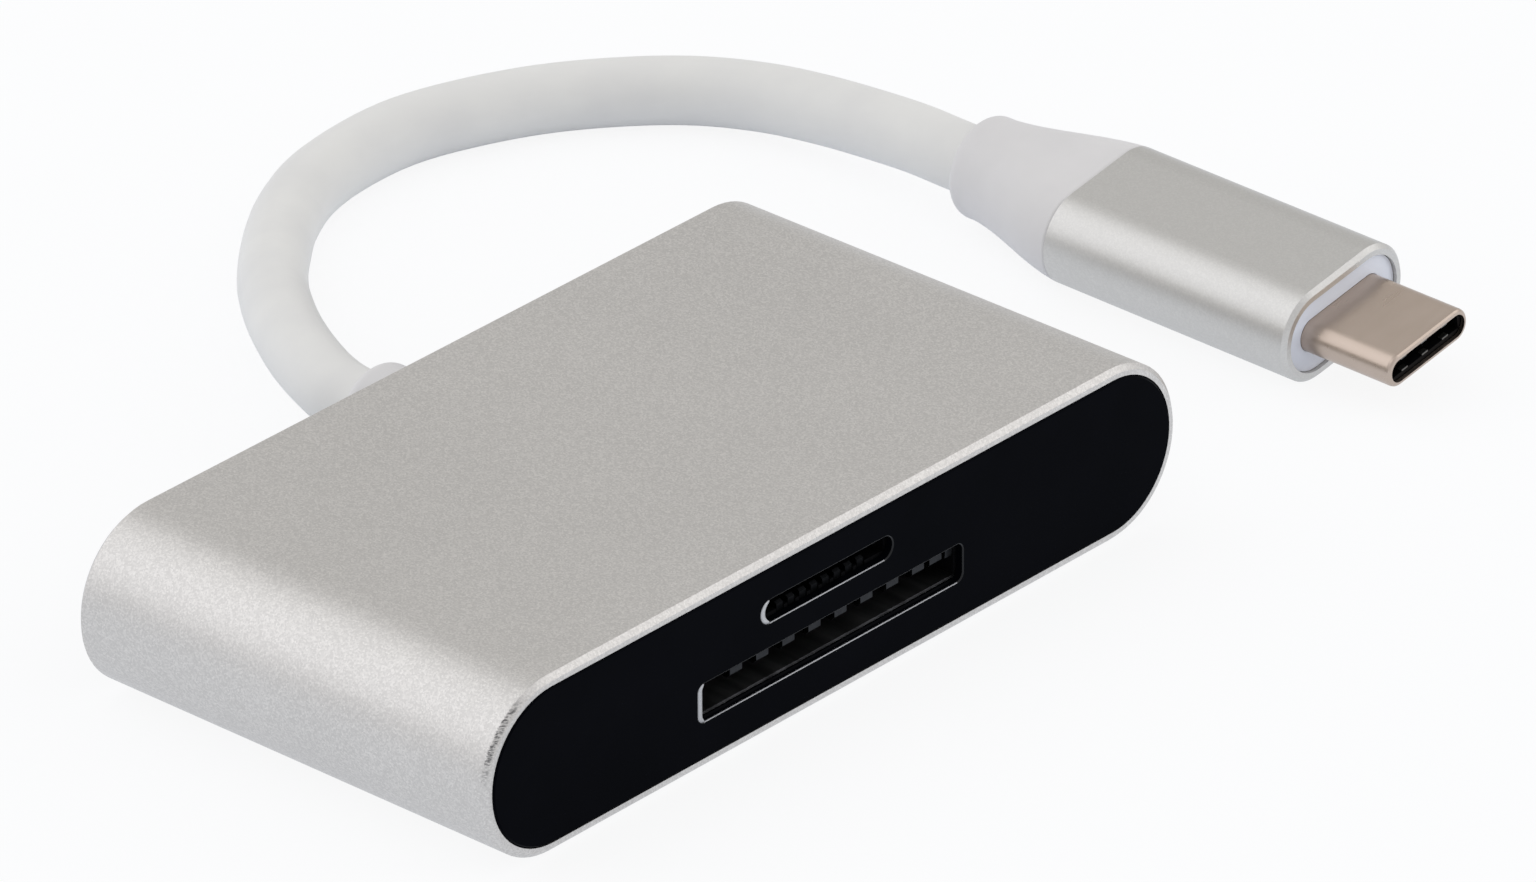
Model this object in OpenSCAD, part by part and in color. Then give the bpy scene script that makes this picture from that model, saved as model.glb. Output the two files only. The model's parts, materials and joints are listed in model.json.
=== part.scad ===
// Card reader with a captive cable. An extruded metal housing holds a board with two card
// sockets, one under it and one on it. Their mouths open through slots in a dark front panel.
// A short cable leaves the rear panel and ends in a small flat reversible plug.
// X runs along the width, the slots face -Y and Z is up. The origin is under the middle of
// the housing, on the surface that it rests on. Lengths are in millimetres.

/* [Housing] */
// Width over the round sides
housing_w = 66.5; // [62:0.5:80]
// Depth from the front rim to the rear rim
housing_d = 35.2; // [34:0.2:50]
// Height, which is twice the radius of the round sides
housing_h = 12.6; // [12.2:0.2:16]
// Wall of the extrusion
housing_wall = 1.2; // [1:0.1:1.4]
// Rim of the extrusion left outside each end panel
rim_w = 0.7; // [0.6:0.05:0.9]
// Chamfer on the outer edge of each rim
rim_chamfer = 0.35; // [0.1:0.05:0.4]
// Thickness of the ribs that hold the board's edges
rib_t = 0.8; // [0.6:0.1:1]

/* [End panels] */
// Thickness of the front and rear panels
panel_t = 1.5; // [1.3:0.1:2]
// How far the panels stand out of the rims
panel_out = 0.1; // [0:0.05:0.3]
// Chamfer round the face of each panel
panel_chamfer = 0.15; // [0.05:0.05:0.3]
// Web left in front of the sockets' mouths
panel_web = 0.6; // [0.5:0.1:0.9]
// How far each slot in the front panel stands clear of its card channel, all round
slot_margin = 0.25; // [0.1:0.05:0.3]
// Chamfer round each slot's edge
slot_chamfer = 0.1; // [0.05:0.05:0.2]

/* [Board] */
// Distance from each side of the housing to the board's edge
board_side = 2.75; // [2.5:0.05:4]
// Thickness of the board
board_t = 1; // [0.8:0.1:1.2]
// Height of the board's underside over the housing's middle
board_lift = 0.25; // [0.1:0.05:0.5]

/* [Large card socket] */
// Width of the card channel
large_slot_w = 24.9; // [24.5:0.1:26]
// Height of the card channel
large_slot_h = 2.2; // [2.2:0.05:2.4]
// Corner radius of the slot without its margin
large_slot_r = 0.3; // [0.2:0.1:0.9]
// Sideways place of the slot's middle
large_slot_x = -0.7; // [-3:0.1:3]
// Depth of the socket from its mouth
large_socket_d = 24; // [20:0.5:25]
// Contacts in the row
large_contacts_n = 9; // [5:1:9]
// Distance between neighbouring contacts
large_pitch = 2.5; // [2.2:0.05:2.5]
// Distance from the contact before it to the last one
large_last_pitch = 1.7; // [1.6:0.05:1.9]
// Width of a contact spring
large_contact_w = 1.15; // [0.8:0.05:1.3]
// Steel sheet of the socket's cover
large_cover_t = 0.2; // [0.15:0.05:0.25]

/* [Small card socket] */
// Width of the card channel
small_slot_w = 12.1; // [11.5:0.1:13.5]
// Height of the card channel, whose slot has full-round ends
small_slot_h = 1.1; // [1:0.05:1.2]
// Sideways place of the slot's middle
small_slot_x = -1.1; // [-3:0.1:3]
// Depth of the socket from its mouth
small_socket_d = 14; // [12:0.5:16]
// Contacts in the row
small_contacts_n = 8; // [5:1:8]
// Distance between neighbouring contacts
small_pitch = 1.1; // [1:0.05:1.2]
// Width of a contact spring
small_contact_w = 0.6; // [0.4:0.05:0.7]
// Steel sheet of the socket's cover
small_cover_t = 0.15; // [0.1:0.05:0.2]

/* [Cable] */
// Diameter of the cable's jacket
cable_d = 4.8; // [4:0.1:4.8]
// Diameter of the round collar at the housing
collar_d = 7; // [6.6:0.1:7.6]
// Rounding of each collar's end
collar_r = 0.9; // [0.5:0.1:1]
// Length of the collar outside the housing's rim
collar_out = 5.4; // [4:0.2:8]

/* [Plug] */
// Width of the plug's metal sleeve
sleeve_w = 12.4; // [12:0.1:14]
// Thickness of the sleeve, which has full-round sides
sleeve_h = 6.8; // [6.5:0.1:7.5]
// Length of the sleeve
sleeve_l = 21; // [18:0.5:26]
// Wall of the sleeve
sleeve_wall = 0.7; // [0.5:0.05:0.8]
// Bevel on the sleeve's front edge
sleeve_bevel = 0.3; // [0.1:0.05:0.4]
// Length of the moulded strain relief behind the sleeve
relief_l = 11; // [10:0.5:16]
// Diameter of the strain relief's round collar
relief_collar_d = 7.3; // [6.6:0.1:7.6]
// Turn of the plug about its own axis as it lies
plug_roll = 9.5; // [0:0.5:12]
// Rise of the plug towards the cable, which holds its rear end up
plug_tilt = 0.6; // [0:0.1:1]
// Width of the drawn shell
shell_w = 8.25; // [8.2:0.05:8.3]
// Thickness of the drawn shell
shell_h = 2.4; // [2.35:0.05:2.45]
// Length of the shell in front of the sleeve
shell_out = 7.25; // [6:0.05:7.5]
// Sheet of the shell
shell_wall = 0.2; // [0.15:0.05:0.25]

/* [Hidden] */
$fn = 64;

// Gap between pieces that slide into each other, all round
fit = 0.03;
// How far a cutter reaches past the face that it opens
over = 1;

// Housing and panels
front_y = -housing_d / 2;
rear_y = housing_d / 2;
mid_z = housing_h / 2;
seat_depth = panel_t - panel_out;
panel_w = housing_w - 2 * rim_w - 2 * fit;
panel_h = housing_h - 2 * rim_w - 2 * fit;
panel_back_y = front_y + seat_depth;
mouth_y = front_y - panel_out + panel_web + fit;
pocket_margin = 0.2;
nose_step = 0.5;

// Board, clear of the housing's round sides, from a front nose that reaches the mouths to
// the rear collar's flange
flange_d = 8.6;
flange_t = 1.2;
flange_front_y = rear_y - seat_depth - flange_t;
board_w = housing_w - 2 * board_side;
board_z = mid_z + board_lift;
board_top_z = board_z + board_t;
board_front_y = panel_back_y + 0.3;
board_rear_y = flange_front_y - 0.4;
rail_reach = 1.5;
rail_gap = 0.1;

// Large socket, hung under the board
large_wall = 1.1;
large_plate_t = 0.65;
large_top_z = board_z - large_plate_t;
large_slot_z = large_top_z - large_slot_h / 2;
large_w = large_slot_w + 2 * large_wall;
large_low_z = large_top_z - large_slot_h;
large_rear_wall = 1.5;
spring_t = 0.2;
large_channel_l = 19;
large_first_x = -8.4;
large_peg_d = 1.1;
large_peg_x = 10.2;
large_peg_y = 21;

// Small socket, on top of the board
small_wall = 0.9;
small_plate_t = 0.7;
small_low_z = board_top_z + small_plate_t;
small_slot_z = small_low_z + small_slot_h / 2;
small_top_z = small_low_z + small_slot_h;
small_w = small_slot_w + 2 * small_wall;
small_rear_wall = 1.2;
small_spring_t = 0.12;
small_channel_l = 10;
small_peg_d = 0.9;
small_peg_x = 5.2;
small_peg_y = 11.6;
pocket_low_z = large_low_z - large_cover_t - pocket_margin;
pocket_high_z = small_top_z + small_cover_t + pocket_margin;

// Parts on the board, in a left and a right field beside the small socket
left_x = (small_slot_x - small_w / 2 - board_w / 2) / 2;
right_x = (small_slot_x + small_w / 2 + board_w / 2) / 2;
chip_w = 7;
chip_h = 0.9;
chip_y = 4;
crystal = [3.2, 2.5, 0.8];
crystal_y = -4;
lid_step = 0.2;
reg_pitch = 0.95;
reg_y = 6;
capacitor = [1.6, 0.8, 0.8];
capacitor_row = 6;
capacitor_pitch = 2.3;
resistor = [1, 1.6, 0.4];
resistor_pitch = 2.5;
resistor_y = -8;

// Wires soldered to the board's rear edge
wires_n = 6;
wire_d = 0.7;
wire_pitch = 0.95;
wire_l = 2.6;

// Plug, placed by the end of the cable and by how it rests
sleeve_r = sleeve_h / 2;
plug_z = max((sleeve_w - sleeve_h) / 2 * sin(plug_roll) + sleeve_r, relief_collar_d / 2);
exit_y = rear_y + collar_out;
insert_recess = 0.3;
insert_l = 4;
shell_in = 5;
spigot_l = 4;
cavity_w = 6.9;
cavity_h = 1.05;
cavity_l = 5.2;
shell_lip_r = 0.3;
shell_lip_in = 0.15;
shell_lip_l = 0.3;
insulator_recess = shell_lip_l + 0.05;
plug_board_w = 9;
plug_board_t = 0.8;
plug_contacts_n = 12;
plug_pitch = 0.5;

// Middle line of the cable, with y measured from the rear collar's end face
cable_route = [
    [0, 0, 6.3], [0.3, 3, 6.3], [1.7, 6.5, 6.15], [4.4, 11, 5.6], [8, 15.8, 4.8],
    [12, 20.2, 3.8], [16.5, 24.2, 3], [21, 27.5, 2.6], [26, 29.9, 2.45], [31, 30.8, 2.45],
    [36, 30.7, 2.45], [41, 29.2, 2.45], [46, 26.7, 2.45], [50.5, 23.2, 2.45],
    [53.6, 19.5, 2.55], [55.4, 15, 2.85], [56, 10.5, 3.25], [56, 6, 3.7],
    [55.8, 1.5, 4.1], [55.6, -2, 4.2], [55.6, -4.2, 4.2]];
cable_sides = 12;
cable_end = cable_route[len(cable_route) - 1];

// Rounded rectangle in X and Z; a radius of half the height gives full-round ends
module outline(w, h, r) {
    square([w - 2 * r, h], center = true);
    if (h > 2 * r + 0.01)
        square([w, h - 2 * r], center = true);
    for (sx = [-1, 1], sz = h > 2 * r + 0.01 ? [-1, 1] : [0])
        translate([sx * (w / 2 - r), sz * (h / 2 - r)])
            circle(r);
}

// Extrudes an X and Z outline from y0 to y1
module slab(y0, y1) {
    translate([0, y1, 0])
        rotate([90, 0, 0])
            linear_extrude(y1 - y0)
                children();
}

// Rounded block whose outline grows by grow on each side from y = 0 to y = l
module taper(w, h, r, l, grow) {
    translate([r - w / 2, 0, 0])
        rotate([90, 0, 90])
            linear_extrude(w - 2 * r)
                polygon([[0, -h / 2], [l, -h / 2 - grow], [l, h / 2 + grow], [0, h / 2]]);
    if (h > 2 * r + 0.01)
        translate([0, 0, r - h / 2])
            linear_extrude(h - 2 * r)
                polygon([[-w / 2, 0], [w / 2, 0], [w / 2 + grow, l], [-w / 2 - grow, l]]);
    for (sx = [-1, 1], sz = h > 2 * r + 0.01 ? [-1, 1] : [0])
        translate([sx * (w / 2 - r), 0, sz * (h / 2 - r)])
            rotate([-90, 0, 0])
                cylinder(h = l, r1 = r, r2 = r + grow);
}

// Rounded block from y = 0 to y = l with a chamfer on each end's edge. A core inside it
// overlaps the main block and both tapers, so that they join at any size.
module edged_block(w, h, r, l, front_edge, rear_edge) {
    edge = max(front_edge, rear_edge);
    slab(front_edge / 2, l - edge / 2)
        outline(w - 2 * edge, h - 2 * edge, r - edge);
    slab(front_edge, l - rear_edge)
        outline(w, h, r);
    translate([0, front_edge, 0])
        mirror([0, 1, 0])
            taper(w, h, r, front_edge, -front_edge);
    if (rear_edge > 0)
        translate([0, l - rear_edge, 0])
            taper(w, h, r, rear_edge, -rear_edge);
}

// Flat strip of thickness t and width w that follows a path of [y, z] points
module strip(path, t, w) {
    last = len(path) - 1;
    function unit(v) = v / norm(v);
    function along(i) = unit(path[min(i + 1, last)] - path[max(i - 1, 0)]);
    function side(i) = [-along(i)[1], along(i)[0]] * t / 2;
    rotate([90, 0, 90])
        translate([0, 0, -w / 2])
            linear_extrude(w)
                polygon(concat([for (i = [0:last]) path[i] + side(i)],
                    [for (i = [last:-1:0]) path[i] - side(i)]));
}

// Plug's own frame: y = 0 on the sleeve's front face, -Y towards the tip
module lie_as_plug() {
    translate([cable_end[0], exit_y + cable_end[1] - (relief_l + sleeve_l) * cos(plug_tilt),
        plug_z])
        rotate([plug_tilt, 0, 0])
            rotate([0, -plug_roll, 0])
                children();
}

module housing_shell() {
    inner_w = housing_w - 2 * housing_wall;
    inner_h = housing_h - 2 * housing_wall;
    color([0.74, 0.74, 0.72])
    translate([0, front_y, mid_z])
        difference() {
            edged_block(housing_w, housing_h, mid_z, housing_d, rim_chamfer, rim_chamfer);
            slab(-over, housing_d + over)
                difference() {
                    outline(inner_w, inner_h, inner_h / 2);
                    for (s = [-1, 1])
                        board_rails(s);
                }
            for (y = [-over, housing_d - seat_depth])
                slab(y, y + seat_depth + over)
                    outline(housing_w - 2 * rim_w, housing_h - 2 * rim_w, mid_z - rim_w);
        }
}

// Two ribs on one side of the housing, over and under the board's edge
module board_rails(side) {
    rail_x = board_w / 2 - rail_reach;
    rail_w = housing_w / 2 - rail_x;
    for (z = [board_lift - rail_gap - rib_t, board_lift + board_t + rail_gap])
        translate([side > 0 ? rail_x : -rail_x - rail_w, z])
            square([rail_w, rib_t]);
}

// Plain end panel with its face at y = 0 towards -Y
module panel_blank() {
    edged_block(panel_w, panel_h, panel_h / 2, panel_t, panel_chamfer, 0);
}

// Slot that stands clear of a card channel of w by h, chamfered at the panel's face
module slot_cut(w, h, r) {
    slot_w = w + 2 * slot_margin;
    slot_h = h + 2 * slot_margin;
    slot_r = r + slot_margin;
    slab(-over, panel_t + over)
        outline(slot_w, slot_h, slot_r);
    translate([0, slot_chamfer, 0])
        mirror([0, 1, 0])
            taper(slot_w, slot_h, slot_r, 2 * slot_chamfer, 2 * slot_chamfer);
}

module front_panel() {
    pocket_w = large_w + 2 * large_cover_t + 2 * pocket_margin;
    color([0.05, 0.05, 0.06])
    translate([0, front_y - panel_out, 0])
        difference() {
            translate([0, 0, mid_z])
                panel_blank();
            translate([large_slot_x, 0, large_slot_z])
                slot_cut(large_slot_w, large_slot_h, large_slot_r);
            translate([small_slot_x, 0, small_slot_z])
                slot_cut(small_slot_w, small_slot_h, small_slot_h / 2);
            translate([large_slot_x - pocket_w / 2, panel_web, pocket_low_z])
                cube([pocket_w, panel_t, pocket_high_z - pocket_low_z]);
        }
}

module rear_panel() {
    color([0.05, 0.05, 0.06])
    translate([0, rear_y + panel_out, mid_z])
        mirror([0, 1, 0])
            difference() {
                panel_blank();
                rotate([-90, 0, 0])
                    translate([0, 0, -over])
                        cylinder(d = collar_d - 0.8 + 2 * fit, h = panel_t + 2 * over);
            }
}

// Collar moulded on the cable: a flange inside, a neck in the panel's hole, a round end outside
module cable_grommet() {
    outer_l = collar_out - panel_out;
    color([0.88, 0.88, 0.86])
    translate([0, rear_y + panel_out, mid_z])
        rotate([-90, 0, 0])
            rotate_extrude()
                difference() {
                    union() {
                        square([collar_d / 2, outer_l - collar_r]);
                        square([collar_d / 2 - collar_r, outer_l]);
                        translate([collar_d / 2 - collar_r, outer_l - collar_r])
                            circle(collar_r);
                        translate([0, -panel_t])
                            square([collar_d / 2 - 0.4, panel_t]);
                        translate([0, -panel_t - flange_t])
                            square([flange_d / 2, flange_t]);
                    }
                    translate([-collar_d, -over])
                        square([collar_d, outer_l + 2 * over]);
                }
}

module circuit_board() {
    nose_w = large_w - 2 * nose_step;
    color([0.07, 0.25, 0.16])
    difference() {
        union() {
            translate([-board_w / 2, board_front_y, board_z])
                cube([board_w, board_rear_y - board_front_y, board_t]);
            translate([large_slot_x - nose_w / 2, mouth_y, board_z])
                cube([nose_w, board_front_y - mouth_y + nose_step, board_t]);
        }
        for (s = [-1, 1]) {
            translate([large_slot_x + s * large_peg_x, mouth_y + large_peg_y, board_z - over])
                cylinder(d = large_peg_d + 2 * fit, h = board_t + 2 * over);
            translate([small_slot_x + s * small_peg_x, mouth_y + small_peg_y, board_z - over])
                cylinder(d = small_peg_d + 2 * fit, h = board_t + 2 * over);
        }
    }
}

// Contacts stand evenly but for the last one, which is nearer to its neighbour
function large_x(i) = large_first_x + i * large_pitch
    - (i == large_contacts_n - 1 ? large_pitch - large_last_pitch : 0);
function small_x(i) = (i - (small_contacts_n - 1) / 2) * small_pitch;

// Moulded frame that the large card slides in, open below, with a slit for each contact
module large_socket_base() {
    color([0.1, 0.1, 0.11])
    translate([large_slot_x, mouth_y, 0]) {
        difference() {
            translate([-large_w / 2, 0, large_low_z])
                cube([large_w, large_socket_d, board_z - large_low_z]);
            translate([-large_slot_w / 2, -over, large_low_z - over])
                cube([large_slot_w, large_socket_d - large_rear_wall + over, large_slot_h + over]);
            for (i = [0:large_contacts_n - 1])
                translate([large_x(i) - large_contact_w / 2 - 0.1, -over, large_top_z - 0.1])
                    cube([large_contact_w + 0.2, large_channel_l + over, large_plate_t + over]);
        }
        for (s = [-1, 1])
            translate([s * large_peg_x, large_peg_y, board_z - 0.1])
                cylinder(d = large_peg_d, h = board_t + 0.1);
    }
}

// Folded steel cover that closes the large socket from below, with two long windows
module large_socket_cover() {
    cover_w = large_w + 2 * fit;
    tab_l = large_socket_d / 8;
    window_w = 0.22 * large_w;
    color([0.75, 0.75, 0.76])
    translate([large_slot_x, mouth_y, 0])
        difference() {
            translate([-cover_w / 2 - large_cover_t, 0, large_low_z - large_cover_t])
                cube([cover_w + 2 * large_cover_t, large_socket_d,
                    board_z - large_low_z + large_cover_t]);
            translate([-cover_w / 2, -over, large_low_z])
                cube([cover_w, large_socket_d + 2 * over, large_socket_d]);
            translate([-large_w, tab_l, board_z - large_plate_t])
                cube([2 * large_w, large_socket_d - 2 * tab_l, large_socket_d]);
            for (s = [-1, 1])
                translate([s * large_w / 4 - window_w / 2, large_socket_d / 3, large_low_z - over])
                    cube([window_w, large_socket_d / 2, 2 * over]);
        }
}

// Contact springs: soldered at the mouth, bent back into the card channel
module large_socket_contacts() {
    drop = 0.85;
    l = large_channel_l;
    path = [[0.15, board_z], [0.15, large_top_z - drop + 0.2], [0.35, large_top_z - drop],
        [0.08 * l, large_top_z - drop + 0.1], [0.42 * l, large_top_z - 0.3],
        [0.74 * l, large_top_z - 0.5], [0.84 * l, large_top_z - 0.9],
        [0.95 * l, large_top_z - 0.3]];
    color([0.8, 0.68, 0.4])
    for (i = [0:large_contacts_n - 1])
        translate([large_slot_x + large_x(i), mouth_y, 0])
            strip(path, spring_t, large_contact_w);
}

// Springs that feel the card and its lock tab, one in each upper corner of the channel
module large_card_switches() {
    reach = 0.7;
    l = large_channel_l;
    color([0.7, 0.68, 0.6])
    for (s = [-1, 1])
        translate([large_slot_x + s * (large_slot_w / 2 - reach / 2 - fit), mouth_y, 0])
            strip([[0.12, large_top_z - fit], [0.12, large_top_z - reach],
                [0.07 * l, large_top_z - reach + 0.1], [0.47 * l, large_top_z - spring_t / 2 - fit]],
                spring_t, reach);
}

// Moulded frame for the small card, open above, with a slit for each contact
module small_socket_base() {
    color([0.1, 0.1, 0.11])
    translate([small_slot_x, mouth_y, 0]) {
        difference() {
            translate([-small_w / 2, 0, board_top_z])
                cube([small_w, small_socket_d, small_top_z - board_top_z]);
            translate([-small_slot_w / 2, -over, small_low_z])
                cube([small_slot_w, small_socket_d - small_rear_wall + over, small_slot_h + over]);
            for (i = [0:small_contacts_n - 1])
                translate([small_x(i) - small_contact_w / 2 - 0.08, -over, board_top_z - over])
                    cube([small_contact_w + 0.16, small_channel_l + over,
                        small_plate_t + over + 0.1]);
        }
        for (s = [-1, 1])
            translate([s * small_peg_x, small_peg_y, board_z])
                cylinder(d = small_peg_d, h = board_t + 0.1);
    }
}

// Folded steel cover over the small socket, with one window
module small_socket_cover() {
    cover_w = small_w + 2 * fit;
    color([0.75, 0.75, 0.76])
    translate([small_slot_x, mouth_y, 0])
        difference() {
            translate([-cover_w / 2 - small_cover_t, 0, board_top_z])
                cube([cover_w + 2 * small_cover_t, small_socket_d,
                    small_top_z - board_top_z + small_cover_t]);
            translate([-cover_w / 2, -over, board_top_z - over])
                cube([cover_w, small_socket_d + 2 * over, small_top_z - board_top_z + over]);
            translate([-small_slot_w / 4, small_socket_d / 3, small_top_z - over])
                cube([small_slot_w / 2, small_socket_d / 3, 2 * over]);
        }
}

module small_socket_contacts() {
    rise = 0.35;
    l = small_channel_l;
    path = [[0.1, board_top_z], [0.1, small_low_z + rise - 0.1], [0.25, small_low_z + rise],
        [0.12 * l, small_low_z + rise - 0.05], [0.6 * l, small_low_z - 0.1],
        [0.76 * l, small_low_z + 0.5], [0.9 * l, small_low_z]];
    color([0.8, 0.68, 0.4])
    for (i = [0:small_contacts_n - 1])
        translate([small_slot_x + small_x(i), mouth_y, 0])
            strip(path, small_spring_t, small_contact_w);
}

// Block of size v that stands on the board's top with its middle at x and y
module on_board(x, y, v) {
    translate([x - v[0] / 2, y - v[1] / 2, board_top_z])
        cube(v);
}

// Square flat package with a pin-one dimple, between the small socket and the board's left edge
module controller_chip() {
    dimple_d = chip_w / 9;
    color([0.08, 0.08, 0.09])
    difference() {
        on_board(left_x, chip_y, [chip_w, chip_w, chip_h]);
        translate([left_x - chip_w / 3, chip_y - chip_w / 3, board_top_z + chip_h * 5 / 6])
            cylinder(d = dimple_d, h = over);
    }
}

module clock_crystal() {
    color([0.78, 0.77, 0.72]) {
        on_board(left_x, crystal_y, [crystal[0], crystal[1], crystal[2] - lid_step]);
        on_board(left_x, crystal_y, crystal - [2 * lid_step, 2 * lid_step, 0]);
    }
}

// Small regulator with two leads on one side and three on the other
module voltage_regulator() {
    body = [3 * reg_pitch, 1.7 * reg_pitch, 1.1 * reg_pitch];
    lead = [reg_pitch / 2, reg_pitch, reg_pitch / 3];
    reach = (body[1] + lead[1]) / 2;
    color([0.12, 0.12, 0.13]) {
        translate([0, 0, reg_pitch / 10])
            on_board(right_x, reg_y, body);
        for (i = [-1:1])
            on_board(right_x + i * reg_pitch, reg_y - reach + fit, lead);
        for (i = [-1, 1])
            on_board(right_x + i * reg_pitch, reg_y + reach - fit, lead);
    }
}

module chip_capacitors() {
    color([0.62, 0.5, 0.36]) {
        for (i = [-1:1])
            on_board(left_x - capacitor_row, chip_y + i * capacitor_pitch, capacitor);
        for (i = [-1, 1], x = [left_x + capacitor_row, right_x - capacitor_row])
            on_board(x, chip_y + i * capacitor_pitch / 2, capacitor);
        on_board(right_x + capacitor_row / 2, reg_y, capacitor);
    }
}

module chip_resistors() {
    color([0.1, 0.1, 0.1])
    for (i = [-1:1], p = [[left_x, resistor_y], [right_x, 0]])
        on_board(p[0] + i * resistor_pitch, p[1], resistor);
}

// Wires from the collar's inner face to the board's rear pads
module lead_wires() {
    color([0.75, 0.3, 0.25])
    for (i = [0:wires_n - 1])
        translate([(i - (wires_n - 1) / 2) * wire_pitch, flange_front_y, board_top_z + wire_d / 2])
            rotate([90, 0, 0])
                cylinder(d = wire_d, h = wire_l);
}

function unit3(v) = v / norm(v);

// Direction of the cable at route point i, straight out of the collar and into the plug
function cable_dir(i) =
    i == 0 ? [0, 1, 0] :
    i == len(cable_route) - 1 ? [0, -cos(plug_tilt), -sin(plug_tilt)] :
    unit3(cable_route[i + 1] - cable_route[i - 1]);

// Ring of points round route point i, with a point at its lowest place
function cable_ring(i) =
    let (d = cable_dir(i), side = unit3(cross(d, [0, 0, 1])), up = cross(side, d))
    [for (k = [0:cable_sides - 1])
        cable_route[i] + cable_d / 2 *
            (sin(360 * k / cable_sides) * side - cos(360 * k / cable_sides) * up)];

module cable() {
    rings = len(cable_route);
    n = cable_sides;
    points = [for (i = [0:rings - 1]) each cable_ring(i)];
    faces = concat([[for (k = [0:n - 1]) k]],
        [for (i = [0:rings - 2], k = [0:n - 1])
            each [[i * n + k, (i + 1) * n + k, i * n + (k + 1) % n],
                [i * n + (k + 1) % n, (i + 1) * n + k, (i + 1) * n + (k + 1) % n]]],
        [[for (k = [n - 1:-1:0]) (rings - 1) * n + k]]);
    color([0.88, 0.88, 0.86])
    translate([0, exit_y, 0])
        polyhedron(points, faces);
}

// Sections of the strain relief from the cable's end to the sleeve: [y, radius, half flat]
relief_steps = 10;
relief_collar_l = 1.5;
function relief_flare(s) = [
    sleeve_l + (relief_l - relief_collar_l) * (1 - s),
    relief_collar_d / 2 + (sleeve_r - relief_collar_d / 2) * s,
    (sleeve_w - sleeve_h) / 2 * (s + s * s * (3 - 2 * s)) / 2];
relief_sections = concat(
    [for (a = [0:30:90]) [sleeve_l + relief_l - collar_r + collar_r * cos(a),
        relief_collar_d / 2 - collar_r + collar_r * sin(a), 0.01]],
    [for (i = [0:relief_steps]) relief_flare(i / relief_steps)]);
relief_sides = 36;
function relief_ring(v) = [for (k = [0:relief_sides - 1])
    let (a = 360 * (k + 0.5) / relief_sides)
    [sign(cos(a)) * v[2] + v[1] * cos(a), v[0], v[1] * sin(a)]];

// Moulded grip that swells from the cable's round collar to the sleeve's section
module plug_strain_relief() {
    rings = len(relief_sections);
    n = relief_sides;
    points = [for (v = relief_sections) each relief_ring(v)];
    faces = concat([[for (k = [0:n - 1]) k]],
        [for (i = [0:rings - 2], k = [0:n - 1])
            each [[i * n + k, (i + 1) * n + k, i * n + (k + 1) % n],
                [i * n + (k + 1) % n, (i + 1) * n + k, (i + 1) * n + (k + 1) % n]]],
        [[for (k = [n - 1:-1:0]) (rings - 1) * n + k]]);
    spigot_w = sleeve_w - 2 * sleeve_wall - 2 * fit;
    spigot_h = sleeve_h - 2 * sleeve_wall - 2 * fit;
    color([0.88, 0.88, 0.86])
    lie_as_plug() {
        polyhedron(points, faces);
        slab(sleeve_l - spigot_l, sleeve_l + 0.5)
            outline(spigot_w, spigot_h, spigot_h / 2);
    }
}

module plug_sleeve() {
    inner_h = sleeve_h - 2 * sleeve_wall;
    color([0.74, 0.74, 0.72])
    lie_as_plug()
        difference() {
            edged_block(sleeve_w, sleeve_h, sleeve_r, sleeve_l, sleeve_bevel, 0);
            slab(-over, sleeve_l + over)
                outline(sleeve_w - 2 * sleeve_wall, inner_h, inner_h / 2);
        }
}

module plug_front_insert() {
    insert_w = sleeve_w - 2 * sleeve_wall - 2 * fit;
    insert_h = sleeve_h - 2 * sleeve_wall - 2 * fit;
    hole_h = shell_h + 2 * fit;
    color([0.86, 0.88, 0.92])
    lie_as_plug()
        difference() {
            slab(insert_recess, insert_recess + insert_l)
                outline(insert_w, insert_h, insert_h / 2);
            slab(-over, insert_l + 2 * over)
                outline(shell_w + 2 * fit, hole_h, hole_h / 2);
        }
}

// Full-round bar from y = 0 to y = l whose front edge is rounded in three steps
module rounded_bar(w, h, l, edge) {
    steps = 3;
    function inset(i) = edge * (1 - sin(90 * i / steps));
    function depth(i) = edge * (1 - cos(90 * i / steps));
    slab(edge / 2, l - edge / 2)
        outline(w - 2 * edge, h - 2 * edge, h / 2 - edge);
    slab(edge, l)
        outline(w, h, h / 2);
    for (i = [0:steps - 1])
        translate([0, depth(i), 0])
            taper(w - 2 * inset(i), h - 2 * inset(i), h / 2 - inset(i), depth(i + 1) - depth(i),
                inset(i) - inset(i + 1));
}

// Drawn tube that enters the port, with a rounded lip that narrows its mouth
module plug_shell() {
    inner_w = shell_w - 2 * shell_wall;
    inner_h = shell_h - 2 * shell_wall;
    shell_l = shell_out + shell_in;
    color([0.65, 0.6, 0.55])
    lie_as_plug()
        translate([0, -shell_out, 0])
            difference() {
                rounded_bar(shell_w, shell_h, shell_l, shell_lip_r);
                slab(-over, shell_l + over)
                    outline(inner_w - 2 * shell_lip_in, inner_h - 2 * shell_lip_in,
                        inner_h / 2 - shell_lip_in);
                slab(shell_lip_l, shell_l + over)
                    outline(inner_w, inner_h, inner_h / 2);
            }
}

// Moulded core of the plug with the flat cavity for the port's tongue
module plug_insulator() {
    core_w = shell_w - 2 * shell_wall - 2 * fit;
    core_h = shell_h - 2 * shell_wall - 2 * fit;
    color([0.06, 0.06, 0.07])
    lie_as_plug()
        translate([0, -shell_out, 0])
            difference() {
                slab(insulator_recess, shell_out + shell_in)
                    outline(core_w, core_h, core_h / 2);
                slab(0, cavity_l)
                    square([cavity_w, cavity_h], center = true);
            }
}

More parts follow.
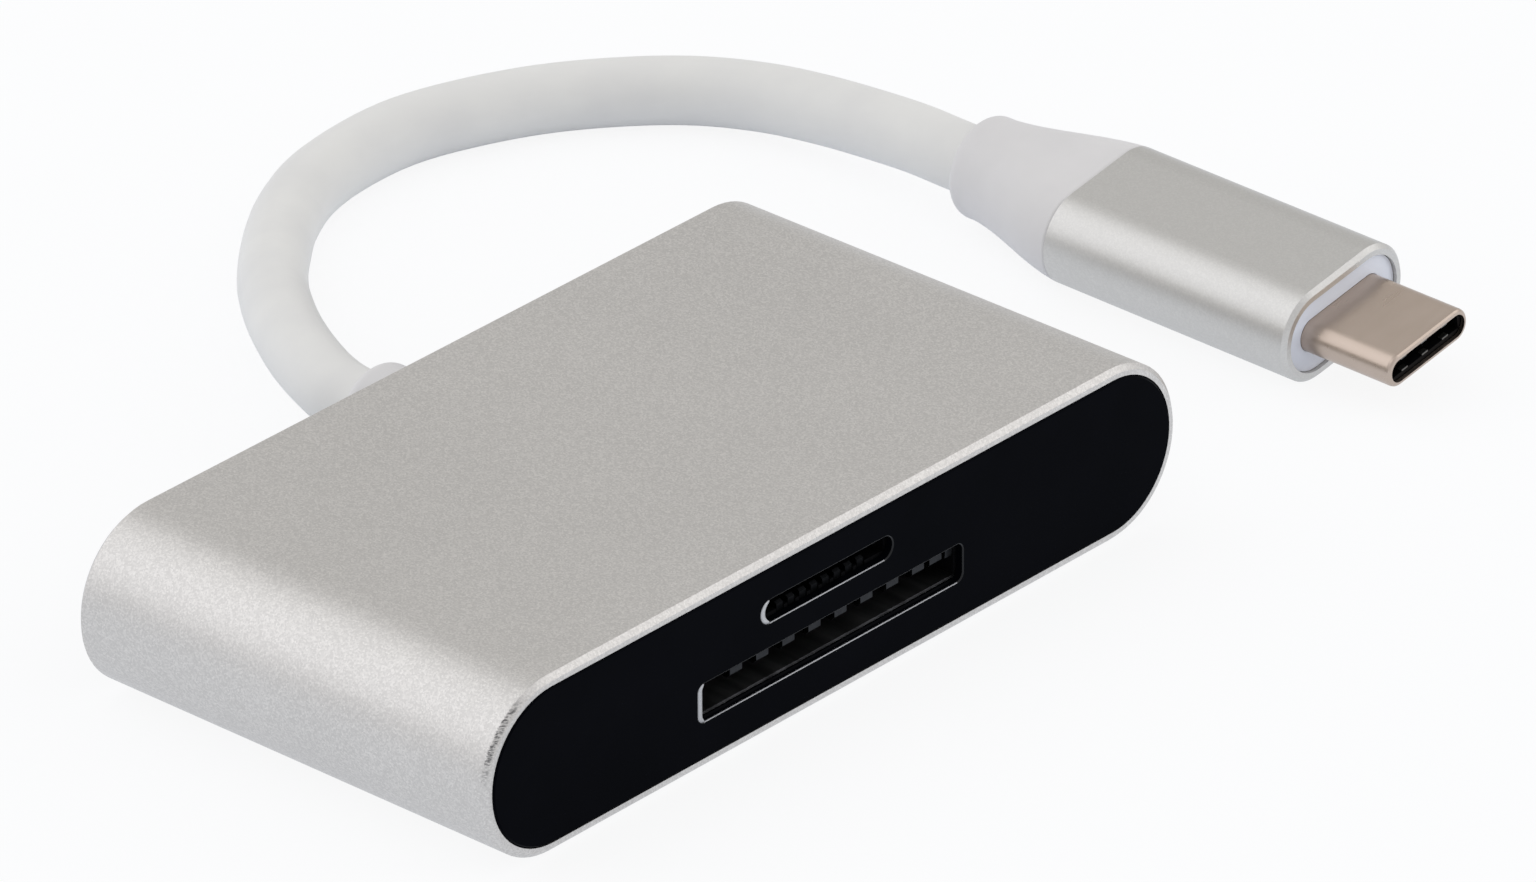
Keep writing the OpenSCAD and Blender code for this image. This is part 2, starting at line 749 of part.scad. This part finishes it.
module plug_contacts() {
    contact = [0.25, 4, 0.1];
    color([0.85, 0.72, 0.42])
    lie_as_plug()
        for (s = [-1, 1], i = [0:plug_contacts_n - 1])
            translate([(i - (plug_contacts_n - 1) / 2) * plug_pitch - contact[0] / 2,
                cavity_l - contact[1] - shell_out,
                s > 0 ? cavity_h / 2 - contact[2] : -cavity_h / 2])
                cube(contact);
}

// Three shield springs in the mouth, above and below the cavity
module plug_ground_springs() {
    pad = [0.6, 0.4, 0.12];
    pitch = 2.1;
    color([0.7, 0.68, 0.62])
    lie_as_plug()
        for (s = [-1, 1], i = [-1:1])
            translate([i * pitch - pad[0] / 2, insulator_recess - shell_out,
                s > 0 ? cavity_h / 2 - pad[2] : -cavity_h / 2])
                cube(pad);
}

// Springs at the cavity's two ends that snap into the port's tongue
module plug_latches() {
    latch = [0.2, 4, 0.5];
    color([0.7, 0.68, 0.62])
    lie_as_plug()
        for (s = [-1, 1])
            translate([s * (cavity_w - latch[0]) / 2 - latch[0] / 2, cavity_l - shell_out - latch[1],
                -latch[2] / 2])
                cube(latch);
}

module plug_board() {
    color([0.07, 0.25, 0.16])
    lie_as_plug()
        translate([-plug_board_w / 2, shell_in, -plug_board_t / 2])
            cube([plug_board_w, sleeve_l - spigot_l - shell_in, plug_board_t]);
}

housing_shell();
front_panel();
rear_panel();
cable_grommet();
circuit_board();
large_socket_base();
large_socket_cover();
large_socket_contacts();
large_card_switches();
small_socket_base();
small_socket_cover();
small_socket_contacts();
controller_chip();
clock_crystal();
voltage_regulator();
chip_capacitors();
chip_resistors();
lead_wires();
cable();
plug_strain_relief();
plug_sleeve();
plug_front_insert();
plug_shell();
plug_insulator();
plug_contacts();
plug_ground_springs();
plug_latches();
plug_board();
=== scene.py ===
import json
import math

import bmesh
import bpy
from mathutils import Matrix, Vector


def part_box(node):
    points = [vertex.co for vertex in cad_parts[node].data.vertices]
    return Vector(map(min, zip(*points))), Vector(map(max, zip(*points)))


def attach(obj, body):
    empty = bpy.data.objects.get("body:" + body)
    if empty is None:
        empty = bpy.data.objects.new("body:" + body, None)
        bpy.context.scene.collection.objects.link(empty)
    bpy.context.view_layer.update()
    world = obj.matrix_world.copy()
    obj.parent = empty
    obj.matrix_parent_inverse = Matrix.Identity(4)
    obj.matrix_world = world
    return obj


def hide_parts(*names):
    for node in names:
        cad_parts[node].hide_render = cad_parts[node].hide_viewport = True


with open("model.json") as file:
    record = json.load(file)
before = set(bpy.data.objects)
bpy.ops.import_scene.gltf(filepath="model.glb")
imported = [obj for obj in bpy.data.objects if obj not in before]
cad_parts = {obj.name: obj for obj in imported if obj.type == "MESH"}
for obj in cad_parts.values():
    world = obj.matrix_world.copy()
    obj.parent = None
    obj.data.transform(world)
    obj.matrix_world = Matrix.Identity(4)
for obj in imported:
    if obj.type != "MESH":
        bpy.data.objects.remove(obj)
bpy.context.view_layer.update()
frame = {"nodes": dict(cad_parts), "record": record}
nodes = frame["nodes"]
record = frame["record"]
scene = bpy.context.scene
scene.view_settings.view_transform = "Standard"
MM = 0.001


# camera, fitted to the housing's outline in the photo
AIM = Vector((13.067, 0.0, 6.836)) * MM
AZIMUTH, ELEVATION, ROLL = (math.radians(a) for a in (-48.162, 28.258, -0.314))
DISTANCE = 1.01075
LENS, SENSOR_W = 365.2, 36
CLIP_END = 20


def photo_camera():
    """Camera that looks at AIM from the photo's direction, turned by ROLL about its view."""
    back = Vector((math.sin(AZIMUTH) * math.cos(ELEVATION),
                   -math.cos(AZIMUTH) * math.cos(ELEVATION), math.sin(ELEVATION)))
    level = Vector((0, 0, 1)).cross(back).normalized()
    upward = back.cross(level)
    right = math.cos(ROLL) * level + math.sin(ROLL) * upward
    up = -math.sin(ROLL) * level + math.cos(ROLL) * upward
    data = bpy.data.cameras.new("camera")
    data.lens = LENS
    data.sensor_width = SENSOR_W
    data.clip_end = CLIP_END
    camera = bpy.data.objects.new("camera", data)
    scene.collection.objects.link(camera)
    turn = Matrix((right, up, back)).transposed().to_4x4()
    camera.matrix_world = Matrix.Translation(AIM + back * DISTANCE) @ turn
    return camera


scene.camera = photo_camera()


# material helpers
class Nodes:
    """Node tree of a material or world, with short calls for the nodes used here."""

    def __init__(self, owner, output="ShaderNodeOutputMaterial", coords="Object"):
        owner.use_nodes = True
        self.owner = owner
        self.tree = owner.node_tree
        self.tree.nodes.clear()
        self.out = self.add(output).inputs["Surface"]
        self.coords = self.add("ShaderNodeTexCoord").outputs[coords]

    def add(self, kind, **settings):
        node = self.tree.nodes.new(kind)
        for key, value in settings.items():
            setattr(node, key, value)
        return node

    def set(self, socket, value):
        """Link a socket, or set a plain value."""
        if isinstance(value, bpy.types.NodeSocket):
            self.tree.links.new(value, socket)
        else:
            socket.default_value = value

    def stretch(self, scale):
        node = self.add("ShaderNodeMapping")
        self.set(node.inputs["Vector"], self.coords)
        node.inputs["Scale"].default_value = scale
        return node.outputs["Vector"]

    def noise(self, scale, detail=3.0, rough=0.55, vector=None):
        """Noise with its scale per metre."""
        node = self.add("ShaderNodeTexNoise")
        self.set(node.inputs["Vector"], vector or self.coords)
        node.inputs["Scale"].default_value = scale
        node.inputs["Detail"].default_value = detail
        node.inputs["Roughness"].default_value = rough
        return node.outputs["Fac"]

    def grains(self, scale):
        node = self.add("ShaderNodeTexVoronoi")
        self.set(node.inputs["Vector"], self.coords)
        node.inputs["Scale"].default_value = scale
        return node.outputs["Color"]

    def ramp(self, value, low, high, out_low=0.0, out_high=1.0, **settings):
        node = self.add("ShaderNodeMapRange", **settings)
        self.set(node.inputs["Value"], value)
        for key, number in zip(("From Min", "From Max", "To Min", "To Max"),
                               (low, high, out_low, out_high)):
            node.inputs[key].default_value = number
        return node.outputs["Result"]

    def maths(self, operation, a, b=0.0):
        node = self.add("ShaderNodeMath", operation=operation)
        self.set(node.inputs[0], a)
        self.set(node.inputs[1], b)
        return node.outputs[0]

    def product(self, first, *others):
        for other in others:
            first = self.maths("MULTIPLY", first, other)
        return first

    def along(self, direction):
        """Coordinate along a direction."""
        node = self.add("ShaderNodeVectorMath", operation="DOT_PRODUCT")
        self.set(node.inputs[0], self.coords)
        node.inputs[1].default_value = direction
        return node.outputs["Value"]

    def mix(self, share, first, second):
        node = self.add("ShaderNodeMix", data_type="RGBA")
        self.set(node.inputs["Factor"], share)
        self.set(node.inputs["A"], first)
        self.set(node.inputs["B"], second)
        return node.outputs["Result"]

    def blend(self, share, first, second):
        """Mix of two shaders."""
        node = self.add("ShaderNodeMixShader")
        self.set(node.inputs["Fac"], share)
        self.set(node.inputs[1], first)
        self.set(node.inputs[2], second)
        return node.outputs[0]

    def rays(self):
        """Two values, 1 for rays from the camera, also through glass, and 1 for mirrored rays."""
        path = self.add("ShaderNodeLightPath")
        seen = self.maths("MAXIMUM", path.outputs["Is Camera Ray"],
                          path.outputs["Is Transmission Ray"])
        return seen, path.outputs["Is Glossy Ray"]

    def bump(self, height, strength, distance):
        node = self.add("ShaderNodeBump")
        self.set(node.inputs["Height"], height)
        node.inputs["Strength"].default_value = strength
        node.inputs["Distance"].default_value = distance
        return node.outputs["Normal"]

    def surface(self, colour, rough, normal, **sockets):
        shader = self.add("ShaderNodeBsdfPrincipled")
        self.set(shader.inputs["Base Color"], colour)
        self.set(shader.inputs["Roughness"], rough)
        self.set(shader.inputs["Normal"], normal)
        for key, value in sockets.items():
            shader.inputs[key.replace("_", " ")].default_value = value
        self.set(self.out, shader.outputs[0])
        return self.owner


def new_material(name):
    return Nodes(bpy.data.materials.new(name))


def rgb(*values):
    """Linear colour with full alpha from display values of 0 to 255, by the sRGB curve."""
    return tuple(((v / 255 + 0.055) / 1.055) ** 2.4 if v > 10 else v / 255 / 12.92
                 for v in values) + (1.0,)


def scaled(colour, share):
    return tuple(c * share for c in colour[:3]) + (1.0,)


# cutter marks, in metres, in a band whose edges fade
MARKS_Y, MARKS_HALF_W, MARKS_FADE = -0.01735, 0.0001, 0.0001
# Stretches over which they come in from below, from above and from the right
MARKS_LOW, MARKS_HIGH, MARKS_LEFT = (0.007, 0.0088), (0.0121, 0.0114), (-0.027, -0.029)
MARKS_SHARE = 0.8
MARKS_COLOUR = rgb(70, 70, 72)


def cutter_marks(n):
    """Share of the dark flecks beside the front bevel on the left side."""
    y, z = n.along((0, 1, 0)), n.along((0, 0, 1))
    outer = MARKS_HALF_W + MARKS_FADE
    flecks = n.ramp(n.noise(1.0, 2.0, 0.6, n.stretch((3000, 3000, 9000))), 0.42, 0.6)
    return n.product(flecks, MARKS_SHARE,
                     n.ramp(y, MARKS_Y - outer, MARKS_Y - MARKS_HALF_W),
                     n.ramp(y, MARKS_Y + outer, MARKS_Y + MARKS_HALF_W),
                     n.ramp(z, *MARKS_LOW), n.ramp(z, *MARKS_HIGH),
                     n.ramp(n.along((1, 0, 0)), *MARKS_LEFT))


# Size of the blasted grain, in metres
GRAIN = 0.00011


def blasted_aluminium(name, colour, spread=0.14, rough=0.45, marks=False):
    """Anodised metal with a blasted grain: light and dark grains over a faint cloud."""
    n = new_material(name)
    speck = n.grains(1 / GRAIN)
    fine = n.noise(1 / GRAIN, 2.0)
    cloud = n.noise(60)
    share = n.maths("ADD", n.ramp(speck, 0.3, 1.0, 0.1, 0.9), n.ramp(cloud, 0.35, 0.65, 0.0, 0.1))
    colour = n.mix(share, scaled(colour, 1 - spread), scaled(colour, 1 + spread))
    if marks:
        colour = n.mix(cutter_marks(n), colour, MARKS_COLOUR)
    roughness = n.ramp(fine, 0.25, 0.75, rough - 0.04, rough + 0.04)
    height = n.maths("ADD", n.product(speck, 0.5), fine)
    return n.surface(colour, roughness, n.bump(height, 0.1, GRAIN / 3), Metallic=1.0)


def drawn_metal(name, colour_a, colour_b, rough, streak=(900, 60, 900), depth=0.05):
    """Metal with fine drawn lines, which are closest on the axes where streak is largest."""
    n = new_material(name)
    lines = n.noise(1.0, 4.0, 0.6, n.stretch(streak))
    cloud = n.noise(300, 2.0)
    share = n.ramp(n.maths("ADD", lines, n.product(cloud, 0.4)), 0.45, 0.95)
    return n.surface(n.mix(share, colour_a, colour_b),
                     n.ramp(lines, 0.3, 0.7, rough - 0.04, rough + 0.05),
                     n.bump(lines, depth, 0.02 * MM), Metallic=1.0)


def moulded(name, colour_a, colour_b, rough, grain=2500, depth=0.08, gloss=0.5):
    """Moulded plastic or rubber: faint mottling and a fine matte grain."""
    n = new_material(name)
    cloud = n.noise(180)
    fine = n.noise(grain)
    return n.surface(n.mix(n.ramp(cloud, 0.3, 0.7), colour_a, colour_b),
                     n.ramp(fine, 0.3, 0.7, rough - 0.05, rough + 0.05),
                     n.bump(fine, depth, 0.03 * MM), Specular_IOR_Level=gloss)


# Scales of drawn lines per metre on each axis
FINE_LINES = (1500, 300, 1500)
SPRING_LINES = (2500, 200, 2500)
CROSS_LINES = (200, 900, 900)

# materials, first those of the record's slots and then other looks
MATERIALS = {
    "body_metal": blasted_aluminium("blasted_aluminium", rgb(213, 210, 206), marks=True),
    "panel_black": moulded("gloss_black", rgb(5, 6, 10), rgb(7, 8, 13), rough=0.12, grain=900,
                           depth=0.01, gloss=0.01),
    "cord_white": moulded("jacket_white", rgb(234, 233, 230), rgb(229, 228, 226), rough=0.52,
                          grain=1600, depth=0.05, gloss=0.3),
    "grip_white": moulded("grip_white", rgb(226, 224, 224), rgb(221, 219, 219), rough=0.5,
                          grain=2200, depth=0.06, gloss=0.3),
    "insert_white": moulded("insert_white", rgb(236, 240, 250), rgb(230, 235, 246), rough=0.42),
    "socket_plastic": moulded("socket_black", rgb(7, 7, 9), rgb(10, 10, 12), rough=0.5,
                              gloss=0.1),
    "stamped_steel": drawn_metal("stamped_steel", rgb(120, 120, 122), rgb(160, 160, 162),
                                 rough=0.35),
    # Dark grey of the slot contacts is painted shade, darker than the metal itself for contacts
    # deep in the slots
    "spring_metal": drawn_metal("spring_metal", rgb(38, 39, 42), rgb(55, 56, 58), rough=0.4,
                                streak=SPRING_LINES),
    "shell_nickel": drawn_metal("warm_nickel", rgb(190, 174, 160), rgb(196, 180, 167), rough=0.3,
                                streak=CROSS_LINES, depth=0.004),
    "board_green": moulded("board_green", rgb(20, 74, 48), rgb(28, 92, 58), rough=0.35,
                           grain=4000, depth=0.1),
    "chip_black": moulded("package_black", rgb(24, 24, 26), rgb(36, 36, 38), rough=0.55,
                          grain=6000, depth=0.15),
    "chip_tan": moulded("ceramic_tan", rgb(150, 122, 90), rgb(172, 142, 106), rough=0.4,
                        grain=5000),
    "can_metal": drawn_metal("can_metal", rgb(190, 188, 182), rgb(206, 204, 198), rough=0.25,
                             streak=FINE_LINES),
    "wire_jacket": moulded("wire_red", rgb(150, 40, 32), rgb(172, 54, 42), rough=0.4,
                           grain=3000, depth=0.05),

    "fine_metal": blasted_aluminium("fine_aluminium", rgb(208, 206, 202), spread=0.05,
                                    rough=0.42),
    # Pale grey of the painted highlights at the slots' left ends and lower edges
    "painted_highlight_grey": moulded("painted_highlight_grey", rgb(196, 197, 200), rgb(184, 185, 189), rough=0.25,
                          grain=900, depth=0.02),
    "lip_black": moulded("lip_black", rgb(9, 10, 13), rgb(11, 12, 16), rough=0.18, grain=900,
                         depth=0.002, gloss=0.3),
    # Darker copy of the spring metal for the small slot's contacts, painted shade
    "painted_shade_spring": drawn_metal("painted_shade_spring", rgb(22, 23, 25), rgb(32, 33, 35), rough=0.45,
                               streak=SPRING_LINES),
    # Duller copy of the metal for the plug's shield springs, painted shade
    "painted_shade_shield_spring": drawn_metal("painted_shade_shield_spring", rgb(110, 110, 108), rgb(124, 124, 122),
                                 rough=0.4, streak=FINE_LINES),
}
# The sleeve takes a finer-grained aluminium; the small slot's contacts and the plug's shield
# springs take duller copies of their metal, painted shade
OTHER_LOOKS = {"plug_sleeve": "fine_metal", "small_socket_contacts": "painted_shade_spring",
               "plug_ground_springs": "painted_shade_shield_spring"}
for part in record["subparts"]:
    mesh = nodes[part["node"]].data
    mesh.materials.clear()
    mesh.materials.append(MATERIALS[OTHER_LOOKS.get(part["node"], part["material_slot"])])


# rounded edges of the plug's sleeve
SOFT_EDGE_W = 0.12
soft_edge = nodes["plug_sleeve"].modifiers.new("soft_edge", "BEVEL")
soft_edge.width = SOFT_EDGE_W * MM
soft_edge.segments = 3
soft_edge.limit_method = "ANGLE"
soft_edge.angle_limit = math.radians(30)


# piece helpers
def dress(obj, slot, look=None):
    """Give a piece its material, that of its look or else of its slot, and its body."""
    obj.data.materials.append(MATERIALS[look or slot])
    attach(obj, "root")
    return obj


def mesh_piece(name, points, faces, slot, look=None):
    """Smooth-shaded piece with its faces turned outwards."""
    mesh = bpy.data.meshes.new(name)
    mesh.from_pydata(points, [], faces)
    mesh.validate()
    skin = bmesh.new()
    skin.from_mesh(mesh)
    bmesh.ops.recalc_face_normals(skin, faces=skin.faces)
    skin.to_mesh(mesh)
    skin.free()
    obj = bpy.data.objects.new(name, mesh)
    scene.collection.objects.link(obj)
    for face in mesh.polygons:
        face.use_smooth = True
    return dress(obj, slot, look)


def lofted(name, rings, slot, look=None):
    """Closed skin over rings of equally many points, with a cap on each end ring."""
    n = len(rings[0])
    points = [point for ring in rings for point in ring]
    faces = [tuple(range(n)), tuple((len(rings) - 1) * n + k for k in reversed(range(n)))]
    for i in range(len(rings) - 1):
        for k in range(n):
            a, b = i * n + k, i * n + (k + 1) % n
            faces.append((a, a + n, b + n, b))
    return mesh_piece(name, points, faces, slot, look)


# edges of the card slots, in millimetres: a black rim, and pale pieces at the left ends and along
# the lower edges that are painted highlights
PANEL_FACE_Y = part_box("front_panel")[0][1] / MM
SLOT_MARGIN = 0.25
RIM_R, RIM_BURIED, RIM_STEPS = 0.13, 0.04, 6
# Pale piece at each slot's left end, a painted highlight: width, depth, set-back, buried share,
# first angle and sweep
END_HIGHLIGHT_W, END_HIGHLIGHT_T, END_HIGHLIGHT_SET_BACK, END_HIGHLIGHT_BURIED_SHARE = 0.36, 0.4, 0.03, 0.2
END_HIGHLIGHT_FROM, END_HIGHLIGHT_SWEEP = 92, 176
# Thin pale rod along each slot's lower edge, a painted highlight line: its radius, inset and
# sides
LINE_R, LINE_IN, LINE_SIDES = 0.045, 0.06, 12
CORNER_STEPS = 16


class Slot:
    """Opening of the front panel round a card channel, with its middle at a mount."""

    def __init__(self, mount, width, height, corner):
        self.x, _, self.z = (v / MM for v in mount["pos_m"])
        self.half_w, self.half_h = width / 2 + SLOT_MARGIN, height / 2 + SLOT_MARGIN
        self.corner = corner + SLOT_MARGIN

    def point(self, angle, outward, depth):
        """Point outward from the outline, where it faces the angle, at a depth in the panel."""
        way_x, way_z = math.cos(angle), math.sin(angle)
        side_x, side_z = (1 if way > 0 else -1 for way in (way_x, way_z))
        reach = self.corner + outward
        x = self.x + side_x * (self.half_w - self.corner) + reach * way_x
        z = self.z + side_z * (self.half_h - self.corner) + reach * way_z
        return Vector((x, PANEL_FACE_Y + depth, z)) * MM


def slot_rim(name, slot):
    """Rounded rim over the slot's chamfer, with a quarter-round section."""
    angles = [math.radians(90 * (quarter + (k + 0.5) / CORNER_STEPS))
              for quarter in range(4) for k in range(CORNER_STEPS)]
    section = [(RIM_R * (1 - math.sin(a)), RIM_R * (1 - math.cos(a)))
               for a in (math.radians(90 * k / RIM_STEPS) for k in range(RIM_STEPS + 1))]
    section.append((RIM_R + RIM_BURIED, RIM_R + RIM_BURIED))
    points = [slot.point(angle, outward, depth) for outward, depth in section for angle in angles]
    n, m = len(angles), len(section)
    faces = [(i * n + k, i * n + (k + 1) % n, (i + 1) % m * n + (k + 1) % n, (i + 1) % m * n + k)
             for i in range(m) for k in range(n)]
    mesh_piece(name + "_rim", points, faces, "panel_black", "lip_black")


def slot_end_painted_highlight(name, slot):
    """Pale piece that closes the margin at the slot's left end, a painted highlight."""
    section = ((END_HIGHLIGHT_BURIED_SHARE, END_HIGHLIGHT_SET_BACK), (-1, END_HIGHLIGHT_SET_BACK),
               (-1, END_HIGHLIGHT_T), (END_HIGHLIGHT_BURIED_SHARE, END_HIGHLIGHT_T))
    rings = []
    for k in range(2 * CORNER_STEPS + 1):
        angle = math.radians(END_HIGHLIGHT_FROM + END_HIGHLIGHT_SWEEP * k / (2 * CORNER_STEPS))
        width = END_HIGHLIGHT_W * abs(math.cos(angle)) ** 0.5
        rings.append([slot.point(angle, share * width, depth) for share, depth in section])
    lofted(name + "_end_painted_highlight", rings, "panel_black", "painted_highlight_grey")


def slot_low_painted_highlight(name, slot):
    """Thin pale rod along the slot's lower edge, a painted highlight line."""
    angles = [2 * math.pi * k / LINE_SIDES for k in range(LINE_SIDES)]
    y, z = PANEL_FACE_Y + LINE_IN, slot.z - slot.half_h - LINE_IN
    rings = [[Vector((slot.x + side * (slot.half_w - slot.corner),
                      y - LINE_R * math.cos(a), z + LINE_R * math.sin(a))) * MM for a in angles]
             for side in (-1, 1)]
    lofted(name + "_low_painted_highlight", rings, "panel_black", "painted_highlight_grey")


mounts = {mount["name"]: mount for mount in record["mounts"]}
slots = {"large_slot": Slot(mounts["large_card_slot"], width=24.9, height=2.2, corner=0.3),
         "small_slot": Slot(mounts["small_card_slot"], width=12.1, height=1.1, corner=0.55)}
for name, slot in slots.items():
    slot_rim(name, slot)
    slot_end_painted_highlight(name, slot)
    slot_low_painted_highlight(name, slot)


# cable, in millimetres from its exit, with the route of the part's source
EXIT_Y = 23.0
ROUTE = [(0, 0, 6.3), (0.3, 3, 6.3), (1.7, 6.5, 6.15), (4.4, 11, 5.6), (8, 15.8, 4.8),
         (12, 20.2, 3.8), (16.5, 24.2, 3), (21, 27.5, 2.6), (26, 29.9, 2.45), (31, 30.8, 2.45),
         (36, 30.7, 2.45), (41, 29.2, 2.45), (46, 26.7, 2.45), (50.5, 23.2, 2.45),
         (53.6, 19.5, 2.55), (55.4, 15, 2.85), (56, 10.5, 3.25), (56, 6, 3.7),
         (55.8, 1.5, 4.1), (55.6, -2, 4.2), (55.6, -4.2, 4.2)]
CABLE_D = 4.8
route = [Vector((x, y + EXIT_Y, z)) * MM for x, y, z in ROUTE]


def cable_jacket():
    """Round tube along the route, each of whose points takes its neighbours' direction."""
    curve = bpy.data.curves.new("cable_jacket", "CURVE")
    curve.dimensions = "3D"
    curve.bevel_depth = CABLE_D / 2 * MM
    curve.bevel_resolution = 10
    curve.resolution_u = 14
    curve.use_fill_caps = True
    spline = curve.splines.new("BEZIER")
    spline.bezier_points.add(len(route) - 1)
    for i, (point, knot) in enumerate(zip(route, spline.bezier_points)):
        before = route[max(i - 1, 0)]
        after = route[min(i + 1, len(route) - 1)]
        along = (after - before).normalized()
        knot.handle_left_type = knot.handle_right_type = "FREE"
        knot.co = point
        knot.handle_left = point - along * (point - before).length / 3
        knot.handle_right = point + along * (after - point).length / 3
    jacket = bpy.data.objects.new("cable_jacket", curve)
    scene.collection.objects.link(jacket)
    return dress(jacket, "cord_white")


cable = cable_jacket()
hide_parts("cable")


# strain relief of the plug, in millimetres, with the sizes of the part's source
SLEEVE_W, SLEEVE_H, SLEEVE_L = 12.4, 6.8, 21.0
RELIEF_L, RELIEF_D, COLLAR_R, COLLAR_L = 11.0, 7.3, 0.9, 1.5
COLLAR_FLAT = 0.01
COLLAR_STEPS, GRIP_STEPS, RING_SIDES = 12, 32, 96
PLUG_ROLL, PLUG_TILT = math.radians(9.5), math.radians(0.6)

sleeve_r = SLEEVE_H / 2
sleeve_flat = (SLEEVE_W - SLEEVE_H) / 2
relief_r = RELIEF_D / 2
plug_y = EXIT_Y + ROUTE[-1][1] - (RELIEF_L + SLEEVE_L) * math.cos(PLUG_TILT)
plug_z = sleeve_flat * math.sin(PLUG_ROLL) + sleeve_r
plug_place = (Matrix.Translation((ROUTE[-1][0], plug_y, plug_z))
              @ Matrix.Rotation(PLUG_TILT, 4, "X") @ Matrix.Rotation(-PLUG_ROLL, 4, "Y"))


def plug_ring(y, radius, flat):
    """Ring of a full-round section whose straight part has a half width of flat."""
    ring = []
    for k in range(RING_SIDES):
        a = 2 * math.pi * (k + 0.5) / RING_SIDES
        x = math.copysign(flat, math.cos(a)) + radius * math.cos(a)
        ring.append(plug_place @ Vector((x, y, radius * math.sin(a))) * MM)
    return ring


def strain_relief():
    """Round collar at the cable's end, and a grip that swells into the sleeve's section."""
    rings = []
    for k in range(COLLAR_STEPS + 1):
        a = math.pi / 2 * k / COLLAR_STEPS
        rings.append(plug_ring(SLEEVE_L + RELIEF_L - COLLAR_R + COLLAR_R * math.cos(a),
                               relief_r - COLLAR_R + COLLAR_R * math.sin(a), COLLAR_FLAT))
    for k in range(GRIP_STEPS + 1):
        s = k / GRIP_STEPS
        # Halfway between an even and an eased widening
        widened = (s + s * s * (3 - 2 * s)) / 2
        rings.append(plug_ring(SLEEVE_L + (RELIEF_L - COLLAR_L) * (1 - s),
                               relief_r + (sleeve_r - relief_r) * s, sleeve_flat * widened))
    return lofted("strain_relief_skin", rings, "grip_white")


relief = strain_relief()
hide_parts("plug_strain_relief")


# floor, with the shares of plain white that the camera and mirrors see in it
CAMERA_SHARE, MIRROR_SHARE = 0.88, 0.78
FLOOR_COLOUR = rgb(244, 248, 255)
FLOOR_HALF_W = 4.0


def floor_white():
    """Pale surface that cameras and mirrors see as white and that still takes a soft shadow."""
    n = new_material("floor_white")
    seen, glossy = n.rays()
    lit = n.add("ShaderNodeBsdfDiffuse")
    lit.inputs["Color"].default_value = FLOOR_COLOUR
    white = n.add("ShaderNodeEmission")
    n.set(white.inputs["Color"], n.mix(glossy, (1, 1, 1, 1), FLOOR_COLOUR))
    share = n.maths("MAXIMUM", n.product(seen, CAMERA_SHARE), n.product(glossy, MIRROR_SHARE))
    n.set(n.out, n.blend(share, lit.outputs[0], white.outputs[0]))
    return n.owner


floor_mesh = bpy.data.meshes.new("floor")
floor_mesh.from_pydata([(x * FLOOR_HALF_W, y * FLOOR_HALF_W, 0)
                        for x, y in ((-1, -1), (1, -1), (1, 1), (-1, 1))], [], [(0, 1, 2, 3)])
floor_mesh.materials.append(floor_white())
floor = bpy.data.objects.new("floor", floor_mesh)
scene.collection.objects.link(floor)


# world, with its level as soft light and, for mirrors, on its bright and its grey side
SOFT_LEVEL, MIRROR_LEVEL, GREY_LEVEL = 0.704, 0.81, 0.675
COOL_WHITE = (0.962, 0.968, 1, 1)
# Way to the grey side, at the back right, and how near to it the grey sets in and is full
GREY_SIDE = (0.656, 0.588, 0.473)
GREY_FADE = (0.35, 0.9)


def studio_world():
    """World that the camera sees as white."""
    world = bpy.data.worlds.new("studio")
    n = Nodes(world, "ShaderNodeOutputWorld", "Generated")

    def background(level, colour=(1, 1, 1, 1)):
        node = n.add("ShaderNodeBackground")
        node.inputs["Color"].default_value = colour
        node.inputs["Strength"].default_value = level
        return node.outputs[0]

    seen, glossy = n.rays()
    grey_share = n.ramp(n.along(GREY_SIDE), *GREY_FADE, interpolation_type="SMOOTHSTEP")
    mirrored = n.blend(grey_share, background(MIRROR_LEVEL, COOL_WHITE), background(GREY_LEVEL))
    unseen = n.blend(glossy, background(SOFT_LEVEL), mirrored)
    n.set(n.out, n.blend(seen, unseen, background(1.0)))
    return world


scene.world = studio_world()


# lamps, in metres, all turned towards the housing
LAMP_AIM = Vector((0.01, 0, 0.005))


def softbox(name, place, size, watts, tint=(1, 1, 1)):
    """Area lamp of a size in metres."""
    data = bpy.data.lights.new(name, "AREA")
    data.shape = "RECTANGLE"
    data.size, data.size_y = size
    data.energy = watts
    data.color = tint
    lamp = bpy.data.objects.new(name, data)
    scene.collection.objects.link(lamp)
    lamp.location = place
    lamp.rotation_euler = (LAMP_AIM - Vector(place)).to_track_quat("-Z", "Y").to_euler()


softbox("left_box", (-0.74, 1.12, 1.38), (2.3, 2.6), watts=10.8, tint=(0.935, 0.955, 1))
softbox("right_box", (1.34, -0.94, 1.18), (1.2, 1.2), watts=2.9)
softbox("low_lamp", (0.8, -0.86, 0.24), (0.1, 0.1), watts=1.3)
